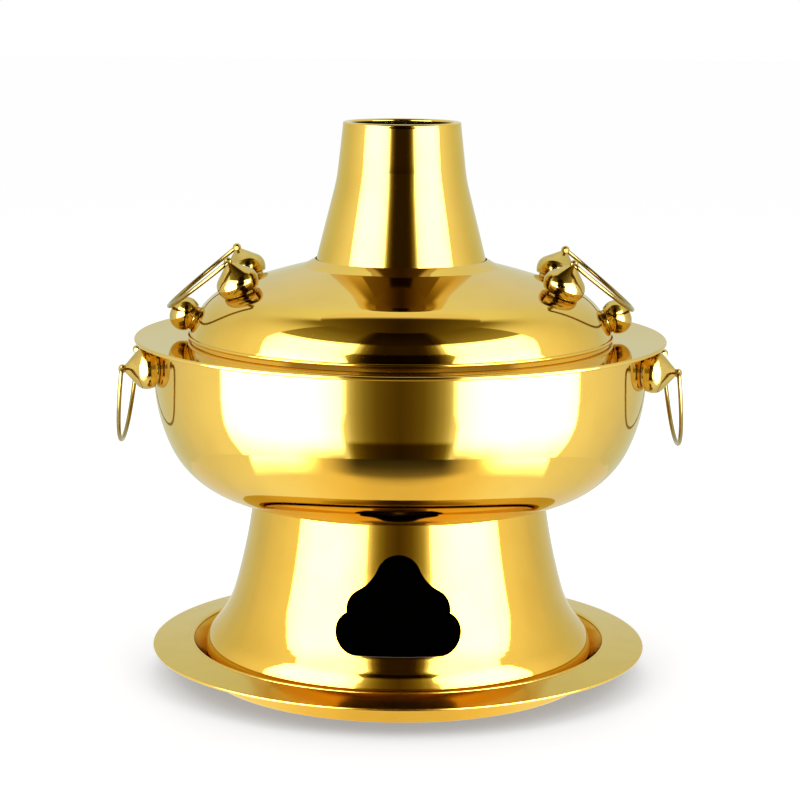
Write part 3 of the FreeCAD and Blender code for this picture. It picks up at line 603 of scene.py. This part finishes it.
level = level + glare * turn.step(*GLARE_STARTS) * (1 - turn.step(*GLARE_ENDS))
hue = turn.step(*WARM_ENDS).blend(WARM_FRONT, tinted(level))
seen, mirrored, through = [draw.node("ShaderNodeLightPath", output=kind)
                           for kind in ("Is Camera Ray", "Is Glossy Ray", "Is Transmission Ray")]
lift = draw.node("ShaderNodeEmission", {}, {"Color": (1.0, 1.0, 1.0), "Strength": (seen + through) * TOP_UP})
lit = draw.node("ShaderNodeAddShader", {}, {0: Wire(draw.tree, floor_shader.outputs[0]), 1: lift})
table = draw.node("ShaderNodeEmission", {}, {"Color": hue, "Strength": once(draw, level, FLOOR_AGAIN)})
both = draw.node("ShaderNodeMixShader", {}, {0: mirrored, 1: lit, 2: table})
draw.tree.links.new(both.socket, draw.tree.nodes["Material Output"].inputs["Surface"])
floor_finish.cycles.emission_sampling = "NONE"
floor_points = [(x * FLOOR_HALF, y * FLOOR_HALF, 0) for x, y in ((-1, -1), (1, -1), (1, 1), (-1, 1))]
stage_sheet("floor", floor_points, [(0, 1, 2, 3)], floor_finish)

# ---- Lamps and world: three soft square lamps aimed at the pot, two in front and one behind, which
# its metal doesn't mirror, and an even white world that lights everything else.
LAMPS = {"lamp_left": (-0.9, -0.9, 1.1), "lamp_right": (0.9, -0.9, 1.1), "lamp_back": (0.0, 1.0, 1.3)}
LAMP_SIZE = 0.8
LAMP_POWER = 4.0
LAMP_AIM = (0, 0, 0.12)
WORLD_LIGHT = 0.8
WORLD_TOP_UP = 0.2
for name, place in LAMPS.items():
    lamp = bpy.data.lights.new(name, "AREA")
    lamp.shape = "SQUARE"
    lamp.size = LAMP_SIZE
    lamp.energy = LAMP_POWER
    lamp_object = bpy.data.objects.new(name, lamp)
    lamp_object.location = place
    lamp_object.rotation_euler = (Vector(LAMP_AIM) - Vector(place)).to_track_quat("-Z", "Y").to_euler()
    lamp_object.visible_glossy = False
    bpy.context.scene.collection.objects.link(lamp_object)

world = bpy.data.worlds.new("studio")
bpy.context.scene.world = world
world.use_nodes = True
draw = Wire(world.node_tree)
seen, mirrored, through = [draw.node("ShaderNodeLightPath", output=kind)
                           for kind in ("Is Camera Ray", "Is Glossy Ray", "Is Transmission Ray")]
draw.feed(world.node_tree.nodes["Background"],
          {"Color": (1.0, 1.0, 1.0), "Strength": (seen + mirrored + through) * WORLD_TOP_UP + WORLD_LIGHT})

# ---- Camera: it stands well back in front of the vent and a little higher than the chimney's
# mouth. It looks slightly down through a long lens that fills the frame with the pot.
SENSOR = 36.0
FRAME_WIDTH = 800
FOCUS = 2424.2
CAMERA_BACK = 1.4495
CAMERA_HEIGHT = 0.41688
CAMERA_PITCH = 9.788
CAMERA_ROLL = 0.45
camera = bpy.data.objects.new("camera", bpy.data.cameras.new("camera"))
camera.data.sensor_width = SENSOR
camera.data.lens = SENSOR * (FOCUS / FRAME_WIDTH)
camera.location = (0, -CAMERA_BACK, CAMERA_HEIGHT)
tilt = Matrix.Rotation(math.radians(90 - CAMERA_PITCH), 4, "X")
roll = Matrix.Rotation(math.radians(CAMERA_ROLL), 4, "Z")
camera.rotation_euler = (tilt @ roll).to_euler()
bpy.context.scene.collection.objects.link(camera)
bpy.context.scene.camera = camera
bpy.context.scene.view_settings.view_transform = "Standard"
